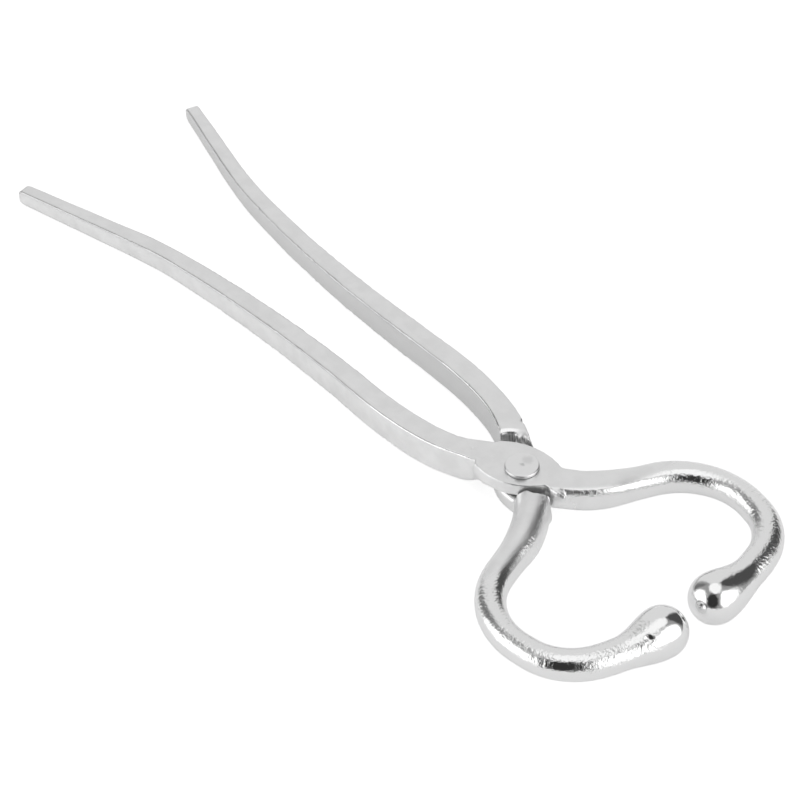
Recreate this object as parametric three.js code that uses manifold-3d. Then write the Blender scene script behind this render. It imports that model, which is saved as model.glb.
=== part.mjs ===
// Bull nose tongs: two forged steel levers crossed in a riveted half-lap joint.
// Each lever is a flat tapering handle, half of the lap, and a round-rod C jaw ending in a ball.
// The lower lever is the same forging turned over. Its handle and jaw root are bent a little
// differently, and its joint plate is narrower.
//
// Frame (mm): the pivot axis is Z. +X points from the pivot to the jaws, and the handles run to -X.
// The levers are drawn about their middle plane, and the last lines put the origin on the rivet's head.
import * as THREE from "three";
import { mergeVertices } from "three/addons/utils/BufferGeometryUtils.js";
import Module from "manifold-3d";

// ---- Driving dimensions ----
const HALF_THICKNESS = 5.7; // of a forging at the joint, measured from its middle plane
const LAP_RISE = 0.8; // the two halves meet this far above the middle of the forgings
const LAP_GAP = 0.3; // between the two halves of the lap
const LAP_EDGE = 1.2; // chamfer round each half's edge on the lap side
const DRAFT = 0.8; // how far the joint's side walls lean out below the top face
const SHOULDER_BEVEL_WIDTH = 1.7; // along the rim of the handle's shoulder
const SHOULDER_BEVEL_DEPTH = 0.9;

const HANDLE_HALF_WIDTH = 4.1;
const HANDLE_TIP_HALF_WIDTH = 2.5;
const HANDLE_WIDTH_EASING = 1.6; // above 1, the handle narrows slowly at first and faster near its tip
const HANDLE_TIP_HALF_THICKNESS = 3;
const HANDLE_TAPER_START = -30; // x where the handle begins to get thinner and narrower
const HANDLE_TIP_X = -234.5;
const HANDLE_EDGE = 0.4; // chamfer along the handle's four long edges
const HANDLE_STATIONS = 60;
const TIP_ROUNDING_LENGTH = 3; // the handle's end rounds off over this length
const TIP_ROUNDING_DROP = 1.3; // by this much, above and below
const TIP_ROUNDING_STATIONS = 6;

const UNDERSIDE_SQUARENESS = 2.15;
const ROD_SIDES = 36; // facets round the jaw rod and the ball
const ROD_STATIONS = 44;
const BALL_STATIONS = 24;
const BALL_RADIUS = 8.4;
const NECK_LENGTH = 16.5; // the rod swells into the ball over this length, up to the ball's centre

const RIVET_SHANK_RADIUS = 3.75;
const RIVET_CLEARANCE = 0.1; // radial, round the shank, and under both heads
const RIVET_HEAD_RADIUS = 5.7;
const RIVET_HEAD_HEIGHT = 1.3;
const RIVET_HEAD_EDGE = 0.25;
const RIVET_TAIL_RADIUS = 5.2;
const RIVET_TAIL_HEIGHT = 1.3;
const RIVET_TAIL_BAND = 0.9; // upright edge of the tail, and the rest of its height is a cone
const RIVET_TAIL_FLAT_RADIUS = 3.9; // of the cone's flat end
const RIVET_SIDES = 48;

// The lower lever's joint plate is this much narrower on the side away from its handle.
const LOWER_PLATE_INSET = 2.2;

// A centre line is a chain of straights and arcs, seen with its lever's own lap face down.
// Headings and turns are in degrees. A turn is positive to the left.
const LEG_STEP = 2.5; // longest distance between two points along a chain

// Handles: both leave the joint steeply, run level with the tongs, and spread again near the tip.
const UPPER_HANDLE = {
  start: [-11, -2.5],
  heading: 210,
  legs: [
    { straight: 8 },
    { radius: 50, turn: -20 },
    { radius: 140, turn: -10.5 },
    { straight: 8 },
    { radius: 600, turn: 9 },
    { radius: 170, turn: 7 },
    { straight: 54 },
  ],
  rootHalfWidth: 5.8,
  rootLength: 10, // along x, over which the handle widens into the joint
};
const LOWER_HANDLE = {
  start: [-8, -5.7],
  heading: 207,
  legs: [
    { straight: 8 },
    { radius: 60, turn: -16 },
    { radius: 130, turn: -12 },
    { straight: 32 },
    { radius: 560, turn: 8 },
    { radius: 200, turn: 7.5 },
    { straight: 42 },
  ],
  rootHalfWidth: 4.8,
  rootLength: 22,
};

// Jaws: the C is the same on both levers, and its chain starts at the ball's far pole.
const BALL_CENTRE = [78.5, 11];
const JAW_CURL = [
  { straight: 12 },
  { radius: 57, turn: 20 },
  { radius: 21, turn: 60 },
  { straight: 3 },
  { radius: 26, turn: 78 },
];
const UPPER_JAW_ROOT = [{ straight: 13 }, { radius: 30, turn: -26 }, { straight: 10 }];
const LOWER_JAW_ROOT = [{ straight: 9 }, { radius: 54, turn: -30 }];

// Rod section along the jaw: share of the length, half width, half height, height of its centre
// above the middle plane, and squareness of its upper half (2 is an ellipse, more is boxier).
const ROD_SECTIONS = [
  { at: 0, halfWidth: 6.2, halfHeight: 5.7, rise: 0.6, squareness: 4 },
  { at: 0.12, halfWidth: 5.8, halfHeight: 5.9, rise: 0.2, squareness: 3.6 },
  { at: 0.26, halfWidth: 5.1, halfHeight: 5.2, rise: 0.1, squareness: 2.5 },
  { at: 0.5, halfWidth: 4.9, halfHeight: 4.9, rise: 0, squareness: 2 },
  { at: 0.85, halfWidth: 5.4, halfHeight: 5.4, rise: 0, squareness: 2 },
  { at: 1, halfWidth: 5.4, halfHeight: 5.4, rise: 0, squareness: 2 },
];

// The joint's top face is a lens between two arcs: centre, radius, and angles in degrees.
const NEAR_ARC = { x: -7.5, y: 9.8, radius: 20.5, from: -101, to: -28 };
const FAR_ARC = { x: 2.5, y: -12.5, radius: 23, from: 78, to: 137 };

// Between the arcs the face runs out on to the jaw and back, and crosses the handle.
const FACE_OUT_ON_JAW = [{ radius: 4, turn: -37 }, { straight: 4 }];
const FACE_OVER_JAW = [13.5, 12.5];
const FACE_FILLET = 2; // how far the curve back from the jaw eases into the far arc
const FACE_ACROSS_HANDLE = [[-15, 1], [-14.5, -3], [-13.5, -8]];

// The pocket that clears the other lever's half of the lap is cut with overlapping discs.
const SHOULDER_DISC = { x: -9.8, y: -2.9, radius: 7.75 }; // leaves the handle's shoulder
const POCKET_DEPTH = 20; // deeper than the forging
const POCKET_LEAN = (DRAFT * POCKET_DEPTH) / HALF_THICKNESS; // the back wall leans over the other plate
const POCKET_DISCS = [
  SHOULDER_DISC,
  { x: 0, y: 0, radius: 10, flare: -POCKET_LEAN }, // leaves the jaw root's back wall
  { x: 3, y: 10, radius: 3.9 }, // rounds the jaw root's outer corner, so the tongs can open wide
  { x: 8.8, y: 1.2, radius: 3.5 }, // clears the other plate where it runs into its own jaw
];
const POCKET_SIDES = 48;
const ROOT_PARTING = 0.7; // the jaw's root stays this far from the plane between the two jaws

// A hollow web carries the handle's shoulder on under the plate's outer edge.
const WEB_BOX = { fromX: -15, toX: -4.4, toY: -8.6 };
const WEB_HOLLOW_RADIUS = 10;
const WEB_CLEARANCE = 11.4; // the other plate turns within this radius of the pivot

// A forging lug on the corner between the plate and the jaw's root: centre, half sizes and turn.
const LUG = { centre: [14, 1.8, 3.3], halfSize: [4.5, 1.4, 2.2], turn: Math.PI / 15 };
const LUG_SIDES = 24;

const GROUND_LENGTH = 32; // the top face is ground flat from the handle to this x
const FAR = 300; // beyond the tongs in any direction

const wasm = await Module();
wasm.setup();

// ---- Solids and booleans ----
function solidFrom(geometry) {
  geometry.deleteAttribute("normal");
  geometry.deleteAttribute("uv");
  const merged = mergeVertices(geometry, 1e-4);
  const mesh = new wasm.Mesh({
    numProp: 3,
    vertProperties: merged.getAttribute("position").array,
    triVerts: new Uint32Array(merged.index.array),
  });
  return new wasm.Manifold(mesh);
}

function geometryFrom(solid) {
  const { vertProperties, triVerts } = solid.getMesh();
  const geometry = new THREE.BufferGeometry();
  geometry.setAttribute("position", new THREE.BufferAttribute(vertProperties, 3));
  geometry.setIndex(new THREE.BufferAttribute(triVerts, 1));
  geometry.computeVertexNormals();
  return geometry;
}

function uprightCylinder({ x, y, radius, flare = 0 }, bottom, top, sides) {
  const cylinder = new THREE.CylinderGeometry(radius, radius + flare, top - bottom, sides);
  cylinder.rotateX(Math.PI / 2);
  cylinder.translate(x, y, (top + bottom) / 2);
  return solidFrom(cylinder);
}

// A box between two opposite corners.
function block(low, high) {
  const [from, to] = [new THREE.Vector3(...low), new THREE.Vector3(...high)];
  const size = to.clone().sub(from);
  const middle = from.add(to).divideScalar(2);
  const box = new THREE.BoxGeometry(...size.toArray());
  box.translate(...middle.toArray());
  return solidFrom(box);
}

// A closed skin over rings of equal point count, with a fan over each end ring.
function loft(rings) {
  const sides = rings[0].length;
  const points = rings.flat();
  const faces = [];
  for (let r = 0; r + 1 < rings.length; r++) {
    for (let i = 0; i < sides; i++) {
      const a = r * sides + i;
      const b = r * sides + ((i + 1) % sides);
      faces.push(a, b, b + sides, a, b + sides, a + sides);
    }
  }
  for (const end of [0, rings.length - 1]) {
    const centre = new THREE.Vector3();
    rings[end].forEach((point) => centre.addScaledVector(point, 1 / sides));
    const hub = points.push(centre) - 1;
    for (let i = 0; i < sides; i++) {
      const a = end * sides + i;
      const b = end * sides + ((i + 1) % sides);
      faces.push(hub, ...(end ? [a, b] : [b, a]));
    }
  }
  const geometry = new THREE.BufferGeometry().setFromPoints(points);
  geometry.setIndex(faces);
  return solidFrom(geometry);
}

// Points along a chain of straights and arcs.
function chain({ start, heading, legs }) {
  const points = [new THREE.Vector2(...start)];
  let direction = THREE.MathUtils.degToRad(heading);
  for (const { straight, radius, turn = 0 } of legs) {
    const angle = THREE.MathUtils.degToRad(turn);
    const length = straight ?? radius * Math.abs(angle);
    const steps = Math.ceil(length / LEG_STEP);
    for (let i = 0; i < steps; i++) {
      const middle = direction + angle / steps / 2;
      const step = new THREE.Vector2(Math.cos(middle), Math.sin(middle)).multiplyScalar(length / steps);
      points.push(points.at(-1).clone().add(step));
      direction += angle / steps;
    }
  }
  return points;
}

function curveThrough(points) {
  return new THREE.CatmullRomCurve3(points.map(({ x, y }) => new THREE.Vector3(x, y, 0)));
}

// A ring square to a level path: u runs along the path's left side, v runs up.
function ringAt(curve, share, outline) {
  const centre = curve.getPointAt(share);
  const ahead = curve.getTangentAt(share);
  const left = new THREE.Vector3(-ahead.y, ahead.x, 0);
  return outline.map(([u, v]) => centre.clone().addScaledVector(left, u).setZ(v));
}

// Eased value between the two rows of a table that hold this share of the length.
function along(table, share, key) {
  const next = table.findIndex((row) => row.at >= share);
  if (next <= 0) return table[0][key];
  const [a, b] = [table[next - 1], table[next]];
  const blend = THREE.MathUtils.smoothstep(share, a.at, b.at);
  return THREE.MathUtils.lerp(a[key], b[key], blend);
}

// ---- Handle ----
function chamferedRectangle(halfWidth, halfHeight, chamfer) {
  const [w, h] = [halfWidth - chamfer, halfHeight - chamfer];
  return [
    [halfWidth, -h],
    [halfWidth, h],
    [w, halfHeight],
    [-w, halfHeight],
    [-halfWidth, h],
    [-halfWidth, -h],
    [-w, -halfHeight],
    [w, -halfHeight],
  ];
}

// Share of the way from where the handle starts to taper to its tip.
function shareOfTaper(x) {
  return THREE.MathUtils.clamp((x - HANDLE_TAPER_START) / (HANDLE_TIP_X - HANDLE_TAPER_START), 0, 1);
}

function handleHalfThickness(x) {
  return THREE.MathUtils.lerp(HALF_THICKNESS, HANDLE_TIP_HALF_THICKNESS, shareOfTaper(x));
}

function handleHalfWidth({ start, rootHalfWidth, rootLength }, x) {
  const eased = shareOfTaper(x) ** HANDLE_WIDTH_EASING;
  const shank = THREE.MathUtils.lerp(HANDLE_HALF_WIDTH, HANDLE_TIP_HALF_WIDTH, eased);
  const intoRoot = THREE.MathUtils.clamp((x - start[0]) / rootLength + 1, 0, 1);
  return shank + intoRoot * (rootHalfWidth - HANDLE_HALF_WIDTH);
}

// Even stations along the handle, then a few that sit ever closer together over the rounded tip.
function handleShares(tipShare) {
  const shares = [];
  for (let i = 0; i < HANDLE_STATIONS; i++) shares.push(((1 - tipShare) * i) / HANDLE_STATIONS);
  for (let i = 0; i <= TIP_ROUNDING_STATIONS; i++) {
    const turn = Math.sin(((i / TIP_ROUNDING_STATIONS) * Math.PI) / 2);
    shares.push(1 - tipShare + tipShare * turn);
  }
  return shares;
}

function handle(shape) {
  const curve = curveThrough(chain(shape));
  const tipShare = TIP_ROUNDING_LENGTH / curve.getLength();
  const rings = handleShares(tipShare).map((share) => {
    const { x } = curve.getPointAt(share);
    const intoTip = THREE.MathUtils.clamp((share - 1 + tipShare) / tipShare, 0, 1);
    const drop = TIP_ROUNDING_DROP * (1 - Math.sqrt(1 - intoTip ** 2));
    const height = handleHalfThickness(x) - drop;
    return ringAt(curve, share, chamferedRectangle(handleHalfWidth(shape, x), height, HANDLE_EDGE));
  });
  return loft(rings);
}

// ---- Jaw and ball ----
// A ring of points on a curve between an ellipse and a rectangle, boxier above than below.
function squircle(halfWidth, halfHeight, rise, squarenessAbove) {
  const ring = [];
  for (let i = 0; i < ROD_SIDES; i++) {
    const angle = ((i + 0.5) / ROD_SIDES) * 2 * Math.PI;
    const squareness = angle < Math.PI ? squarenessAbove : Math.min(squarenessAbove, UNDERSIDE_SQUARENESS);
    const reach = (cosine) => Math.sign(cosine) * Math.abs(cosine) ** (2 / squareness);
    ring.push([halfWidth * reach(Math.cos(angle)), rise + halfHeight * reach(Math.sin(angle))]);
  }
  return ring;
}

// How much the rod swells at a distance before (or past) the ball's centre, as a radius.
function ballRadiusAt(distanceBefore, rodRadius) {
  if (distanceBefore <= 0) return Math.sqrt(Math.max(BALL_RADIUS ** 2 - distanceBefore ** 2, 0));
  const swell = 1 - THREE.MathUtils.smoothstep(distanceBefore, 0, NECK_LENGTH);
  return THREE.MathUtils.lerp(rodRadius, BALL_RADIUS, swell);
}

// Stations sit closer together over the ball, where the radius changes fastest.
function jawShares(rodShare) {
  const shares = [];
  for (let i = 0; i < ROD_STATIONS; i++) shares.push((rodShare * i) / ROD_STATIONS);
  for (let i = 0; i < BALL_STATIONS; i++) {
    const turn = Math.sin(((i / BALL_STATIONS) * Math.PI) / 2);
    shares.push(rodShare + (1 - rodShare) * turn);
  }
  return shares;
}

function jaw(root) {
  const pole = [BALL_CENTRE[0], BALL_CENTRE[1] - BALL_RADIUS];
  const fromPole = chain({ start: pole, heading: 90, legs: [...JAW_CURL, ...root] });
  const curve = curveThrough(fromPole.reverse());
  const length = curve.getLength();
  const ballCentre = length - BALL_RADIUS;
  const rings = jawShares((ballCentre - NECK_LENGTH) / length).map((share) => {
    const [halfWidth, halfHeight, rise, squareness] = ["halfWidth", "halfHeight", "rise", "squareness"]
      .map((key) => along(ROD_SECTIONS, share, key));
    const before = ballCentre - share * length;
    const outline = before < NECK_LENGTH
      ? squircle(ballRadiusAt(before, halfWidth), ballRadiusAt(before, halfHeight), rise, squareness)
      : squircle(halfWidth, halfHeight, rise, squareness);
    return ringAt(curve, share, outline);
  });
  return loft(rings);
}

// ---- Joint ----
function pointOnArc(arc, radius, degrees) {
  const angle = THREE.MathUtils.degToRad(degrees);
  return new THREE.Vector2(arc.x + radius * Math.cos(angle), arc.y + radius * Math.sin(angle));
}

// The joint's top face, seen from above. Inset draws the side away from the handle in.
function faceOutline(inset) {
  const face = new THREE.Shape();
  const followArc = (arc, radius) => {
    const [from, to] = [arc.from, arc.to].map(THREE.MathUtils.degToRad);
    face.absarc(arc.x, arc.y, radius, from, to, false);
  };
  const smoothThrough = (points) => face.splineThru(points.map((p) => new THREE.Vector2(...p)));
  const nearEnd = pointOnArc(NEAR_ARC, NEAR_ARC.radius, NEAR_ARC.to);
  const outOnJaw = chain({ start: nearEnd.toArray(), heading: NEAR_ARC.to + 90, legs: FACE_OUT_ON_JAW });
  const farRadius = FAR_ARC.radius - inset;
  const farStart = pointOnArc(FAR_ARC, farRadius, FAR_ARC.from);
  const easing = pointOnArc({ x: 0, y: 0 }, FACE_FILLET, FAR_ARC.from - 90).add(farStart);
  followArc(NEAR_ARC, NEAR_ARC.radius);
  outOnJaw.slice(1).forEach(({ x, y }) => face.lineTo(x, y));
  face.lineTo(...FACE_OVER_JAW);
  face.quadraticCurveTo(easing.x, easing.y, farStart.x, farStart.y);
  followArc(FAR_ARC, farRadius);
  smoothThrough(FACE_ACROSS_HANDLE);
  return face;
}

// Half of the lap: walls that lean out below the top face, and a chamfer round the lap face.
function jointPlate(inset, lapHeight) {
  const face = faceOutline(inset);
  const lean = { bevelSegments: 1, curveSegments: 5, bevelSize: DRAFT };
  const upper = new THREE.ExtrudeGeometry(face, {
    ...lean, depth: LAP_GAP, bevelThickness: HALF_THICKNESS - lapHeight,
  });
  upper.translate(0, 0, lapHeight - LAP_GAP);
  const lower = new THREE.ExtrudeGeometry(face, {
    ...lean, depth: POCKET_DEPTH, bevelThickness: LAP_EDGE,
  });
  lower.translate(0, 0, lapHeight + LAP_EDGE);
  return solidFrom(upper).intersect(solidFrom(lower));
}

// The web: the plate's outline down through the forging, hollowed and kept clear of the other plate.
function shoulderWeb(inset, lapHeight) {
  const { fromX, toX, toY } = WEB_BOX;
  const corner = block([fromX, -FAR, -POCKET_DEPTH], [toX, toY, lapHeight + LAP_EDGE]);
  const hollow = new THREE.CylinderGeometry(WEB_HOLLOW_RADIUS, WEB_HOLLOW_RADIUS, FAR, POCKET_SIDES);
  hollow.translate(toX, 0, lapHeight - WEB_HOLLOW_RADIUS);
  const sweptDisc = { x: 0, y: 0, radius: WEB_CLEARANCE };
  const swept = uprightCylinder(sweptDisc, -POCKET_DEPTH, lapHeight, POCKET_SIDES);
  const thickPlate = jointPlate(inset, -HALF_THICKNESS);
  return thickPlate.intersect(corner).subtract(solidFrom(hollow)).subtract(swept);
}

function lug() {
  const bead = new THREE.SphereGeometry(1, LUG_SIDES, LUG_SIDES);
  bead.scale(...LUG.halfSize);
  bead.rotateZ(LUG.turn);
  bead.translate(...LUG.centre);
  return solidFrom(bead);
}

// The discs' walls are upright but for the back wall's.
// The shoulder's rim is bevelled on the forging's far face.
function lapPocket(lapHeight) {
  const bevel = uprightCylinder(
    { ...SHOULDER_DISC, flare: 2 * SHOULDER_BEVEL_WIDTH },
    -HALF_THICKNESS - SHOULDER_BEVEL_DEPTH, -HALF_THICKNESS + SHOULDER_BEVEL_DEPTH, POCKET_SIDES,
  );
  const cut = (pocket, disc) => pocket.add(uprightCylinder(disc, -POCKET_DEPTH, lapHeight, POCKET_SIDES));
  return POCKET_DISCS.reduce(cut, bevel);
}

// ---- Pieces ----
// Drawn with its own joint plate uppermost. lapHeight is where its lap face lies.
function lever({ handleShape, jawRoot, plateInset, lapHeight }) {
  const ground = block([-FAR, -FAR, HALF_THICKNESS], [GROUND_LENGTH, FAR, POCKET_DEPTH]);
  const acrossParting = block([0, -FAR, -POCKET_DEPTH], [GROUND_LENGTH, ROOT_PARTING, POCKET_DEPTH]);
  const bore = uprightCylinder(
    { x: 0, y: 0, radius: RIVET_SHANK_RADIUS + RIVET_CLEARANCE },
    -POCKET_DEPTH, POCKET_DEPTH, RIVET_SIDES,
  );
  const handleAndJaw = handle(handleShape).add(jaw(jawRoot).subtract(acrossParting));
  const halfLap = jointPlate(plateInset, lapHeight).add(shoulderWeb(plateInset, lapHeight)).add(lug());
  const forging = handleAndJaw.subtract(lapPocket(lapHeight)).add(halfLap);
  return geometryFrom(largestBody(forging.subtract(ground).subtract(bore)));
}

// Cuts that graze each other leave crumbs of no real size.
function largestBody(solid) {
  const bodies = solid.decompose();
  return bodies.reduce((largest, body) => (body.volume() > largest.volume() ? body : largest));
}

// Turned profile from the tail's centre up to the head's centre, as [radius, height].
function rivet() {
  const seat = HALF_THICKNESS + RIVET_CLEARANCE;
  const top = seat + RIVET_HEAD_HEIGHT;
  const profile = [
    [0, -seat - RIVET_TAIL_HEIGHT],
    [RIVET_TAIL_FLAT_RADIUS, -seat - RIVET_TAIL_HEIGHT],
    [RIVET_TAIL_RADIUS, -seat - RIVET_TAIL_BAND],
    [RIVET_TAIL_RADIUS, -seat],
    [RIVET_SHANK_RADIUS, -seat],
    [RIVET_SHANK_RADIUS, seat],
    [RIVET_HEAD_RADIUS, seat],
    [RIVET_HEAD_RADIUS, top - RIVET_HEAD_EDGE],
    [RIVET_HEAD_RADIUS - RIVET_HEAD_EDGE, top],
    [0, top],
  ];
  const turned = new THREE.LatheGeometry(
    profile.map(([radius, height]) => new THREE.Vector2(radius, height)),
    RIVET_SIDES,
  );
  turned.rotateX(Math.PI / 2);
  return geometryFrom(solidFrom(turned));
}

// ---- Assembly ----
const forgedSteel = new THREE.MeshStandardMaterial({ color: 0xc9cacb, roughness: 0.25, metalness: 0.95 });
const rivetSteel = new THREE.MeshStandardMaterial({ color: 0xc2c3c4, roughness: 0.35, metalness: 0.95 });

function piece(name, geometry, material) {
  const mesh = new THREE.Mesh(geometry, material);
  mesh.name = name;
  return mesh;
}

const upperLever = piece("upper_lever", lever({
  handleShape: UPPER_HANDLE,
  jawRoot: UPPER_JAW_ROOT,
  plateInset: 0,
  lapHeight: LAP_GAP / 2 + LAP_RISE,
}), forgedSteel);
const lowerLever = piece("lower_lever", lever({
  handleShape: LOWER_HANDLE,
  jawRoot: LOWER_JAW_ROOT,
  plateInset: LOWER_PLATE_INSET,
  lapHeight: LAP_GAP / 2 - LAP_RISE,
}), forgedSteel);
lowerLever.rotation.x = Math.PI; // the same forging turned over
const pivotRivet = piece("pivot_rivet", rivet(), rivetSteel);

const tongs = new THREE.Group();
tongs.add(upperLever, lowerLever, pivotRivet);
tongs.position.z = -(HALF_THICKNESS + RIVET_CLEARANCE + RIVET_HEAD_HEIGHT);

export default tongs;
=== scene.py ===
"""The finish of a pair of bull nose tongs: two nickel-plated forged levers and their rivet."""

import math

import bmesh
import bpy
import numpy as np
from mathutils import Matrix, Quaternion, Vector, noise


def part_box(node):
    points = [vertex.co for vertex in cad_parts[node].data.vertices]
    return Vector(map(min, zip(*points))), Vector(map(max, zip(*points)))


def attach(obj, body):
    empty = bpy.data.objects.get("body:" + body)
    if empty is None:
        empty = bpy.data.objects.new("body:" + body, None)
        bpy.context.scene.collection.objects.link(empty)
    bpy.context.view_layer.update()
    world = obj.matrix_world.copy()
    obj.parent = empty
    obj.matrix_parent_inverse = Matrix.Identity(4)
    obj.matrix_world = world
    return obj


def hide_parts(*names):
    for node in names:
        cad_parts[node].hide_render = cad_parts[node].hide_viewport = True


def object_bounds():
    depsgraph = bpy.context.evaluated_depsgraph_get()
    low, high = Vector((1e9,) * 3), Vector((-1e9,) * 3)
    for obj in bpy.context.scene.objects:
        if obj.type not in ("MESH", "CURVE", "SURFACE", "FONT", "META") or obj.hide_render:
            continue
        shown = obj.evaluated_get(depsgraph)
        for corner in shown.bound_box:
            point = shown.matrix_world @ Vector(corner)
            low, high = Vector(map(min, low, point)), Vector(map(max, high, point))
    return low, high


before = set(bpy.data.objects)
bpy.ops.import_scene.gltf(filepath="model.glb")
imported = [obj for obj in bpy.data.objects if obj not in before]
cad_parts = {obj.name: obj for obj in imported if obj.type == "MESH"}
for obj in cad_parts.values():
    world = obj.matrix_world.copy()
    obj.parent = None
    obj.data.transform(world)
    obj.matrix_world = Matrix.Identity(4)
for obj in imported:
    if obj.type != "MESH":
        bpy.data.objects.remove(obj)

MM = 0.001
CAD_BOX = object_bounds()

# ---- Driving dimensions ----
VOXEL = 0.35 * MM  # side of the even quads that the forgings are re-skinned with
RIVET_VOXEL = 0.2 * MM
RUBBED_SPOT = (-0.5 * MM, 2.8 * MM, 0)  # on the rivet's head
FLAT_END = 32 * MM  # the ground flats run from the handles to this x
POLISH_END = 36 * MM  # the jaws are polished from this x on
JOINT_RADIUS = 19 * MM  # everything in the joint lies within this distance of the pivot
NICKS = 16  # small dings along each handle's ridges
NICK_DEPTH = 0.2  # as a share of the nick's radius
RIVET_HEAD_ABOVE_FLAT = 1.4 * MM  # from the levers' ground flats up to the rivet's top
BALL_RADIUS = 8 * MM
FLOOR_REACH = 6.0
FLOOR_GAP = 0.2 * MM  # under the rivet's tail

# Larger marks on each forging: centre, radius and depth.
GROUND_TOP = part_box("pivot_rivet")[1].z - RIVET_HEAD_ABOVE_FLAT  # height of the ground flats
MARKS = {
    "upper_lever": [
        ((-17.3 * MM, -6.2 * MM, GROUND_TOP), 0.9 * MM, 0.25 * MM),
        ((-90 * MM, -19 * MM, GROUND_TOP), 1.2 * MM, 0.15 * MM),
    ],
    "lower_lever": [
        ((-16.5 * MM, 15 * MM, GROUND_TOP), 1.6 * MM, 0.5 * MM),
        ((-60 * MM, 15 * MM, GROUND_TOP), 1.0 * MM, 0.12 * MM),
        ((81.5 * MM, -19.5 * MM, GROUND_TOP - 0.7 * MM), 2 * MM, 0.8 * MM),
        ((77 * MM, -18.5 * MM, GROUND_TOP - 0.7 * MM), 1.6 * MM, 0.5 * MM),
    ],
}

# Corners that forging left soft: centre, distances where the softening starts and ends, and rounds.
SOFT_CORNERS = {
    "upper_lever": [
        ((-12.5 * MM, -9.6 * MM, GROUND_TOP - 8 * MM), 3.5 * MM, 7 * MM, 50),
        ((14 * MM, 1 * MM, GROUND_TOP - 2.5 * MM), 3 * MM, 6 * MM, 8),
    ],
    "lower_lever": [
        ((-12.5 * MM, 9.6 * MM, GROUND_TOP - 3 * MM), 3.5 * MM, 7 * MM, 30),
        ((11.5 * MM, -0.7 * MM, GROUND_TOP - 2.5 * MM), 1.5 * MM, 3.5 * MM, 15),
        ((15 * MM, -1.8 * MM, GROUND_TOP - 9 * MM), 4 * MM, 7 * MM, 90),
    ],
}

# ---- Camera, as seen from the point it aims at ----
CAMERA_AZIMUTH = 53.18
CAMERA_ELEVATION = 41.98
CAMERA_ROLL = 2.63
CAMERA_DISTANCE = 951 * MM
CAMERA_LENS = 128.4
AIM_SHARE = (0.5559, 0.447, 0.5)  # where the camera aims, as shares of the object's box

# ---- Studio light, as radiance ----
ROOM_LEVEL = 0.36
FRONT_DARK = 0.1  # shares of the room's level in front of the object, and at its back right and left
RIGHT_DARK = 0.22
LEFT_DARK = 0.5
BACK_WALL_LEVEL = 0.8
CEILING_LEVEL = 1.1
SIDE_LIGHT_LEVEL = 1.5

# Lights and dark patches round the object: centre's azimuth and elevation, half width and half
# height, in degrees. Azimuth 0 is the camera's side.
LEFT_LIGHT = (-80, 10, 36, 38)
RIGHT_LIGHT = (56, 24, 38, 36)
FRONT_PATCH = (-18, 36, 30, 36)
RIGHT_PATCH = (124, 28, 24, 40)
LEFT_PATCH = (-128, 18, 9, 34)


# ---- Geometry helpers ----
def smoothstep(low, high, value):
    share = np.clip((value - low) / (high - low), 0, 1)
    return share * share * (3 - 2 * share)


def points_of(mesh):
    flat = np.empty(len(mesh.vertices) * 3)
    mesh.vertices.foreach_get("co", flat)
    return flat.reshape(-1, 3)


def normals_of(mesh):
    flat = np.empty(len(mesh.vertices) * 3)
    mesh.vertex_normals.foreach_get("vector", flat)
    return flat.reshape(-1, 3)


def move_points(mesh, points):
    mesh.vertices.foreach_set("co", points.ravel())
    mesh.update()


def even_skin(node, name, voxel):
    """A new object with the CAD node's shape, covered in even quads."""
    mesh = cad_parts[node].data.copy()
    shell = bmesh.new()
    shell.from_mesh(mesh)
    bmesh.ops.remove_doubles(shell, verts=shell.verts, dist=0.001 * MM)
    shell.to_mesh(mesh)
    shell.free()
    mesh.materials.clear()
    piece = bpy.data.objects.new(name, mesh)
    bpy.context.scene.collection.objects.link(piece)
    remesh = piece.modifiers.new("even_skin", "REMESH")
    remesh.mode = "VOXEL"
    remesh.voxel_size = voxel
    skinned = bpy.data.meshes.new_from_object(
        piece.evaluated_get(bpy.context.evaluated_depsgraph_get())
    )
    piece.modifiers.clear()
    piece.data = skinned
    for polygon in skinned.polygons:
        polygon.use_smooth = True
    return piece


def relax(mesh, weight, rounds, shrink=0.5, grow=0.0):
    """Evens out the surface where weight is high. A negative grow step keeps the thickness."""
    points = points_of(mesh)
    edges = np.empty(len(mesh.edges) * 2, dtype=np.int64)
    mesh.edges.foreach_get("vertices", edges)
    start, end = edges.reshape(-1, 2).T
    here, there = np.concatenate((start, end)), np.concatenate((end, start))
    moving = weight[here] > 0
    here, there = here[moving], there[moving]
    count = np.maximum(np.bincount(here, minlength=len(points)), 1)[:, None]
    for _ in range(rounds):
        for step in (shrink, grow):
            if not step:
                continue
            total = np.stack(
                [np.bincount(here, points[there, axis], len(points)) for axis in range(3)], axis=1
            )
            points += step * weight[:, None] * (total / count - points)
    move_points(mesh, points)


def noise_at(points, period, offset=0.0):
    """Smooth noise between about -1 and 1 that repeats its ups and downs over the period."""
    shift = Vector((offset, offset * 2, offset * 3))
    return np.array([noise.noise(Vector(p) / period + shift) for p in points])


def store(mesh, name, values):
    attribute = mesh.attributes.new(name, "FLOAT", "POINT")
    attribute.data.foreach_set("value", values.astype(np.float32))


# ---- Levers ----
def sink(points, normals, centre, radius, depth):
    """Presses a round dent of this radius into the surface around the centre."""
    distance = np.linalg.norm(points - np.array(centre), axis=1)
    hollow = depth * (1 - smoothstep(0, radius, distance))
    points -= normals * hollow[:, None]


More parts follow.
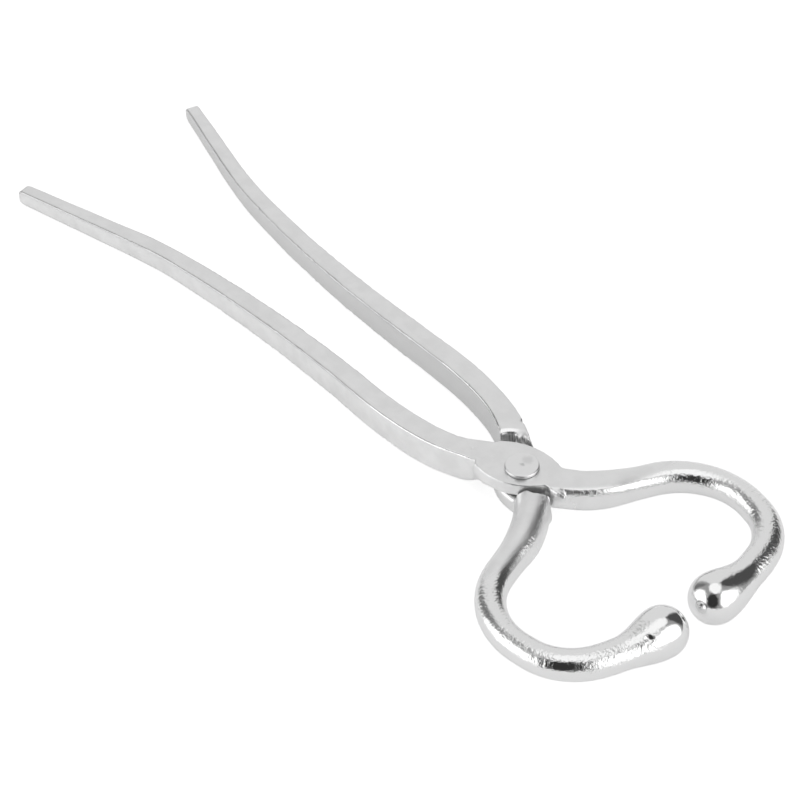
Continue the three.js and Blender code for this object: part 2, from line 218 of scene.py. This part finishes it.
def soften(mesh, corners):
    """Relaxes the corners that forging left soft, and leaves the ground flats as they are."""
    for centre, start, end, rounds in corners:
        points = points_of(mesh)
        below_face = smoothstep(0.2 * MM, 1.2 * MM, GROUND_TOP - points[:, 2])
        distance = np.linalg.norm(points - np.array(centre), axis=1)
        relax(mesh, below_face * (1 - smoothstep(start, end, distance)), rounds)


def lever_zones(points, normals, polish_start):
    """How much each point belongs to each zone of the lever, from 0 to 1."""
    x, y = points[:, 0], points[:, 1]
    from_pivot = np.maximum(np.hypot(x, y), MM)
    upright = np.abs(normals[:, 2])
    inward = -(normals[:, 0] * x + normals[:, 1] * y) / from_pivot
    flat = smoothstep(0.8, 0.97, upright) * (1 - smoothstep(FLAT_END - 4 * MM, FLAT_END, x))
    polished = smoothstep(polish_start, POLISH_END, x) * (1 - flat)
    in_joint = 1 - smoothstep(JOINT_RADIUS - 2 * MM, JOINT_RADIUS, from_pivot)
    on_handle = 1 - smoothstep(-16 * MM, -13 * MM, x)
    ridge = on_handle * smoothstep(0.08, 0.3, upright) * (1 - smoothstep(0.9, 0.98, upright))
    mid_handle = smoothstep(-160 * MM, -130 * MM, x) * (1 - smoothstep(-75 * MM, -55 * MM, x))
    near_root = smoothstep(9 * MM, 12 * MM, x) * (1 - smoothstep(26 * MM, 32 * MM, x))
    return {
        "flat": flat,
        "polished": polished,
        # Inward walls in the joint: milled, and coloured dark as painted shade where the levers lap over
        # each other
        "milled_and_shaded": in_joint * smoothstep(0.35, 0.6, inward) * (1 - smoothstep(0.5, 0.8, upright)),
        "ball": smoothstep(60 * MM, 70 * MM, x) * (1 - smoothstep(13 * MM, 19 * MM, np.abs(y))),
        "ridge": ridge,
        "hammered": ridge * mid_handle,
        "bright_ridge": ridge * smoothstep(-60 * MM, -50 * MM, x),
        "dark_ridge": ridge * (1 - smoothstep(-70 * MM, -50 * MM, x)),
        "handle_side": (1 - flat) * (1 - polished) * (1 - in_joint),
        # Painted shade: the handle sides that face the other lever, where shade falls between the handles
        "painted_shade_between_handles": on_handle * smoothstep(0.4, 0.8, -normals[:, 1] * np.sign(y)),
        "jaw_root": (1 - flat) * near_root,
    }


def roughen(points, normals, zones, patch, seed):
    """Slow waves along the forging, orange peel where it is patchy, and a hammered ridge."""
    wave = noise_at(points, 13 * MM, seed) * 0.12 * MM
    peel = noise_at(points, 1.2 * MM, seed + 9) * 0.04 * MM
    hammering = noise_at(points, 1.6 * MM, seed + 13) * 0.15 * MM
    on_jaw, side = zones["polished"], zones["handle_side"]
    lift = wave * (side + 0.5 * on_jaw * (1 - zones["ball"]))
    lift += peel * patch * (on_jaw * (1 - 0.9 * zones["ball"]) + 0.5 * side)
    lift += hammering * zones["hammered"]
    points += normals * lift[:, None]


def dent(points, normals, marks, ridge, seed):
    """Presses in the larger marks, then small nicks at random places along the ridges."""
    for spot, radius, depth in marks:
        sink(points, normals, spot, radius, depth)
    random = np.random.default_rng(int(seed * 10))
    for nick in random.choice(np.flatnonzero(ridge > 0.7), NICKS):
        radius = random.uniform(0.5, 1.1) * MM
        sink(points, normals, points[nick], radius, NICK_DEPTH * radius)


def build_lever(node, body, material, seed, ridge_darkening, polish_start):
    """The lever as forged, dressed and plated: soft edges, slight waves, grain on the jaws.

    Ridge darkening is how much darker the handle's edges are coloured beyond the joint. The polish fades in
    from polish_start to POLISH_END.
    """
    piece = even_skin(node, node + "_forging", VOXEL)
    mesh = piece.data
    relax(mesh, np.ones(len(mesh.vertices)), rounds=2)
    soften(mesh, SOFT_CORNERS[node])
    on_jaw = smoothstep(20 * MM, 38 * MM, points_of(mesh)[:, 0])
    relax(mesh, on_jaw, rounds=60, shrink=0.6, grow=-0.62)

    points, normals = points_of(mesh), normals_of(mesh)
    zones = lever_zones(points, normals, polish_start)
    patch = smoothstep(-0.45, 0.2, noise_at(points, 12 * MM, seed + 5))
    roughen(points, normals, zones, patch, seed)
    dent(points, normals, MARKS[node], zones["ridge"], seed)
    move_points(mesh, points)

    grain_on_jaw = np.maximum(zones["polished"] * (1 - 0.8 * zones["ball"]), zones["jaw_root"])
    grain = (0.3 + 0.7 * patch) * np.maximum(grain_on_jaw, 0.4 * zones["handle_side"])
    store(mesh, "ground_flat", zones["flat"])
    for name in ("polished", "milled_and_shaded", "bright_ridge", "painted_shade_between_handles"):
        store(mesh, name, zones[name])
    store(mesh, "dark_ridge", zones["dark_ridge"] * ridge_darkening)
    store(mesh, "grain", grain)
    mesh.materials.append(material)
    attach(piece, body)
    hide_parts(node)


def build_rivet(node, body, material):
    """The rivet with its edges slightly rounded."""
    piece = even_skin(node, node + "_peened", RIVET_VOXEL)
    mesh = piece.data
    relax(mesh, np.ones(len(mesh.vertices)), rounds=6)
    mesh.materials.append(material)
    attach(piece, body)
    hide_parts(node)


# ---- Materials ----
class Nodes:
    """Short calls for building a node tree."""

    def __init__(self, tree):
        self.tree = tree
        tree.nodes.clear()

    def add(self, kind, inputs=None, **settings):
        node = self.tree.nodes.new(kind)
        for key, value in settings.items():
            setattr(node, key, value)
        for key, value in (inputs or {}).items():
            self.put(node.inputs[key], value)
        return node

    def put(self, socket, value):
        if isinstance(value, bpy.types.NodeSocket):
            self.tree.links.new(value, socket)
        else:
            socket.default_value = value

    def math(self, operation, *values):
        node = self.add("ShaderNodeMath", operation=operation)
        for socket, value in zip(node.inputs, values):
            self.put(socket, value)
        return node.outputs[0]

    def remap(self, value, low, high, to_low=0.0, to_high=1.0):
        node = self.add("ShaderNodeMapRange", {
            "Value": value, "From Min": low, "From Max": high, "To Min": to_low, "To Max": to_high,
        }, interpolation_type="SMOOTHSTEP")
        return node.outputs["Result"]

    def mix(self, share, a, b):
        return self.math("ADD", self.math("MULTIPLY", a, self.math("SUBTRACT", 1.0, share)),
                         self.math("MULTIPLY", b, share))

    def attribute(self, name):
        return self.add("ShaderNodeAttribute", attribute_name=name).outputs["Fac"]

    def stretched(self, place, scale):
        return self.add("ShaderNodeVectorMath", {0: place, 1: scale}, operation="MULTIPLY").outputs[0]

    def turned(self, place, degrees):
        node = self.add("ShaderNodeVectorRotate", {
            "Vector": place, "Angle": math.radians(degrees),
        }, rotation_type="Z_AXIS")
        return node.outputs[0]

    def noise(self, place, period, detail=2.0):
        node = self.add("ShaderNodeTexNoise", {"Vector": place, "Scale": 1 / period, "Detail": detail})
        return node.outputs["Fac"]

    def bump(self, height, distance, normal=None):
        node = self.add("ShaderNodeBump", {"Height": height, "Distance": distance})
        if normal is not None:
            self.put(node.inputs["Normal"], normal)
        return node.outputs["Normal"]


def new_material(name):
    material = bpy.data.materials.new(name)
    material.use_nodes = True
    return material, Nodes(material.node_tree)


def metal(nodes, grey, roughness, normal):
    """Ends the node tree with a metal of this grey."""
    colour = nodes.add("ShaderNodeCombineColor", {"Red": grey, "Green": grey, "Blue": grey})
    shader = nodes.add("ShaderNodeBsdfPrincipled", {
        "Base Color": colour.outputs["Color"], "Metallic": 1.0, "Roughness": roughness, "Normal": normal,
    })
    output = nodes.add("ShaderNodeOutputMaterial")
    nodes.put(output.inputs["Surface"], shader.outputs["BSDF"])


def forging_material():
    """Nickel plate: satin and faintly hatched on the ground flats, mirror bright on the jaws, with painted
    shade on the handles' facing sides and on the milled walls in the joint.
    """
    material, nodes = new_material("plated_forging_with_painted_shade")
    place = nodes.add("ShaderNodeTexCoord").outputs["Object"]
    flat = nodes.attribute("ground_flat")
    polished = nodes.attribute("polished")
    milled_and_shaded = nodes.attribute("milled_and_shaded")
    grain = nodes.attribute("grain")
    bright_ridge = nodes.attribute("bright_ridge")
    dark_ridge = nodes.attribute("dark_ridge")
    painted_shade_between_handles = nodes.attribute("painted_shade_between_handles")

    mottle = nodes.noise(place, 6 * MM, 4.0)
    fine = nodes.noise(place, 0.35 * MM)
    strokes = nodes.noise(nodes.stretched(place, (1, 1, 0.04)), 0.45 * MM)  # upright tool marks
    scratches = nodes.noise(nodes.stretched(nodes.turned(place, 50), (1, 0.1, 1)), 0.15 * MM)

    side_grey = nodes.remap(mottle, 0.3, 0.7, 0.83, 0.9)
    flat_grey = nodes.remap(mottle, 0.3, 0.7, 0.8, 0.86)
    satin_grey = nodes.mix(flat, side_grey, flat_grey)
    # Painted shade: the sides of the handles that face each other are coloured a darker grey
    satin_grey = nodes.mix(painted_shade_between_handles, satin_grey, 0.74)
    grey = nodes.mix(polished, satin_grey, 0.84)
    grey = nodes.mix(nodes.math("MULTIPLY", dark_ridge, mottle), grey, 0.2)
    # Painted shade: the milled walls inside the joint are coloured dark grey, streaked by the real tool
    # marks
    grey = nodes.mix(milled_and_shaded, grey, nodes.remap(strokes, 0.35, 0.65, 0.25, 0.6))
    roughness = nodes.mix(polished, nodes.mix(flat, 0.3, 0.36), 0.07)
    roughness = nodes.math("ADD", roughness, nodes.remap(mottle, 0.35, 0.7, 0.0, 0.05))
    roughness = nodes.mix(bright_ridge, roughness, 0.16)
    roughness = nodes.mix(milled_and_shaded, roughness, 0.4)

    peel = nodes.noise(place, 0.9 * MM, 3.0)
    normal = nodes.bump(nodes.math("MULTIPLY", peel, grain), 0.2 * MM)
    normal = nodes.bump(nodes.math("MULTIPLY", scratches, flat), 0.03 * MM, normal)
    normal = nodes.bump(nodes.math("MULTIPLY", fine, nodes.math("SUBTRACT", 1.0, flat)), 0.01 * MM, normal)
    normal = nodes.bump(nodes.math("MULTIPLY", strokes, milled_and_shaded), 0.1 * MM, normal)
    metal(nodes, grey, roughness, normal)
    return material


def rivet_material():
    """Plated with the levers, with a worn grey smudge on the middle of the head."""
    material, nodes = new_material("rivet_steel_finish")
    place = nodes.add("ShaderNodeTexCoord").outputs["Object"]
    reach = nodes.add("ShaderNodeVectorMath", {0: place}, operation="LENGTH").outputs["Value"]
    off_centre = nodes.add("ShaderNodeVectorMath", {0: place, 1: RUBBED_SPOT}, operation="DISTANCE")
    blur = nodes.math("MULTIPLY", nodes.noise(place, 1.5 * MM, 3.0), 2 * MM)
    spot = nodes.remap(nodes.math("ADD", reach, blur), 1.2 * MM, 2.2 * MM, 1.0, 0.0)
    rubbed = nodes.remap(nodes.math("ADD", off_centre.outputs["Value"], blur), 1.8 * MM, 3.6 * MM, 0.5, 0.0)
    smudge = nodes.math("MAXIMUM", spot, rubbed)
    fine = nodes.noise(place, 0.4 * MM)
    grey = nodes.mix(smudge, 0.84, 0.62)
    roughness = nodes.mix(smudge, 0.3, 0.4)
    metal(nodes, grey, roughness, nodes.bump(fine, 0.01 * MM))
    return material


# ---- Studio ----
def toward(azimuth, elevation):
    """Unit vector towards a compass azimuth (0 is -Y, 90 is +X) and an elevation."""
    a, e = math.radians(azimuth), math.radians(elevation)
    return Vector((math.sin(a) * math.cos(e), -math.cos(a) * math.cos(e), math.sin(e)))


def build_floor(low, high):
    """A wide pale floor that touches the balls and the rivet's tail."""
    ball_x = high.x - BALL_RADIUS
    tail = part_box("pivot_rivet")[0]
    slope = (tail.z - low.z) / -ball_x
    reach = FLOOR_REACH
    corners = [(-reach, -reach), (reach, -reach), (reach, reach), (-reach, reach)]
    mesh = bpy.data.meshes.new("floor")
    mesh.from_pydata([(x, y, tail.z - FLOOR_GAP + slope * x) for x, y in corners], [], [(0, 1, 2, 3)])
    floor = bpy.data.objects.new("floor", mesh)
    bpy.context.scene.collection.objects.link(floor)
    mesh.materials.append(floor_material())


def floor_material():
    """Pale matt floor, lit a little brighter for the camera so that it stays white."""
    material, nodes = new_material("pale_floor")

    def lit(albedo, glow):
        diffuse = nodes.add("ShaderNodeBsdfDiffuse", {"Color": (albedo, albedo, albedo, 1)})
        emission = nodes.add("ShaderNodeEmission", {"Strength": glow})
        total = nodes.add("ShaderNodeAddShader")
        nodes.put(total.inputs[0], diffuse.outputs[0])
        nodes.put(total.inputs[1], emission.outputs[0])
        return total.outputs[0]

    seen_directly = nodes.add("ShaderNodeLightPath").outputs["Is Camera Ray"]
    surface = nodes.add("ShaderNodeMixShader", {"Fac": seen_directly})
    nodes.put(surface.inputs[1], lit(0.8, 0.27))
    nodes.put(surface.inputs[2], lit(0.35, 0.85))
    output = nodes.add("ShaderNodeOutputMaterial")
    nodes.put(output.inputs["Surface"], surface.outputs[0])
    return material


def studio_world():
    """A grey room with a back wall, a white ceiling and two soft round lights beside the camera.

    Directions are in degrees: azimuth from the camera's side of the object, and elevation.
    """
    world = bpy.data.worlds.new("studio")
    world.use_nodes = True
    nodes = Nodes(world.node_tree)
    direction = nodes.add("ShaderNodeTexCoord").outputs["Generated"]
    turned = nodes.add("ShaderNodeVectorRotate", {
        "Vector": direction, "Angle": -math.radians(CAMERA_AZIMUTH),
    }, rotation_type="Z_AXIS").outputs[0]
    axes = nodes.add("ShaderNodeSeparateXYZ", {"Vector": turned}).outputs
    towards_camera = nodes.math("MULTIPLY", axes["Y"], -1.0)
    azimuth = nodes.math("DEGREES", nodes.math("ARCTAN2", axes["X"], towards_camera))
    elevation = nodes.math("DEGREES", nodes.math("ARCSINE", axes["Z"]))

    def round_patch(centre_azimuth, centre_elevation, half_width, half_height, inside, outside):
        across = nodes.math("DIVIDE", nodes.math("SUBTRACT", azimuth, centre_azimuth), half_width)
        up = nodes.math("DIVIDE", nodes.math("SUBTRACT", elevation, centre_elevation), half_height)
        reach = nodes.math("SQRT", nodes.math("ADD", nodes.math("MULTIPLY", across, across),
                                              nodes.math("MULTIPLY", up, up)))
        return nodes.remap(reach, 0.8, 1.2, inside, outside)

    from_camera = nodes.math("ABSOLUTE", azimuth)
    wall = nodes.math("MULTIPLY", nodes.remap(from_camera, 138, 150), BACK_WALL_LEVEL)
    ceiling = nodes.math("MULTIPLY", nodes.remap(elevation, 60, 68), CEILING_LEVEL)
    left = round_patch(*LEFT_LIGHT, SIDE_LIGHT_LEVEL, 0.0)
    right = round_patch(*RIGHT_LIGHT, SIDE_LIGHT_LEVEL, 0.0)
    room = nodes.math("MULTIPLY", ROOM_LEVEL, round_patch(*FRONT_PATCH, FRONT_DARK, 1.0))
    room = nodes.math("MULTIPLY", room, round_patch(*RIGHT_PATCH, RIGHT_DARK, 1.0))
    room = nodes.math("MULTIPLY", room, round_patch(*LEFT_PATCH, LEFT_DARK, 1.0))
    level = nodes.math("MAXIMUM", room, nodes.math("MAXIMUM", wall, ceiling))
    level = nodes.math("MAXIMUM", level, nodes.math("MAXIMUM", left, right))
    background = nodes.add("ShaderNodeBackground", {"Strength": level})
    nodes.put(background.inputs["Color"], (1, 1, 1, 1))
    output = nodes.add("ShaderNodeOutputWorld")
    nodes.put(output.inputs["Surface"], background.outputs[0])
    return world


def build_camera(low, high):
    """Looks at a point in the object's box from the camera's azimuth and elevation."""
    aim = Vector(a + (b - a) * share for a, b, share in zip(low, high, AIM_SHARE))
    back = toward(CAMERA_AZIMUTH, CAMERA_ELEVATION)
    camera = bpy.data.objects.new("camera", bpy.data.cameras.new("camera"))
    camera.data.lens = CAMERA_LENS
    camera.data.sensor_width = 36
    camera.data.clip_start, camera.data.clip_end = 0.05, 20
    camera.location = aim + back * CAMERA_DISTANCE
    camera.rotation_mode = "QUATERNION"
    level = (-back).to_track_quat("-Z", "Y")
    camera.rotation_quaternion = level @ Quaternion((0, 0, 1), -math.radians(CAMERA_ROLL))
    bpy.context.scene.collection.objects.link(camera)
    bpy.context.scene.camera = camera


low, high = CAD_BOX
plated = forging_material()
build_lever("upper_lever", "upper_lever", plated, seed=1.3, ridge_darkening=0.8, polish_start=12 * MM)
build_lever("lower_lever", "lower_lever", plated, seed=4.1, ridge_darkening=0.3, polish_start=23 * MM)
build_rivet("pivot_rivet", "lower_lever", rivet_material())
build_floor(low, high)
build_camera(low, high)
bpy.context.scene.world = studio_world()
bpy.context.scene.view_settings.view_transform = "Standard"
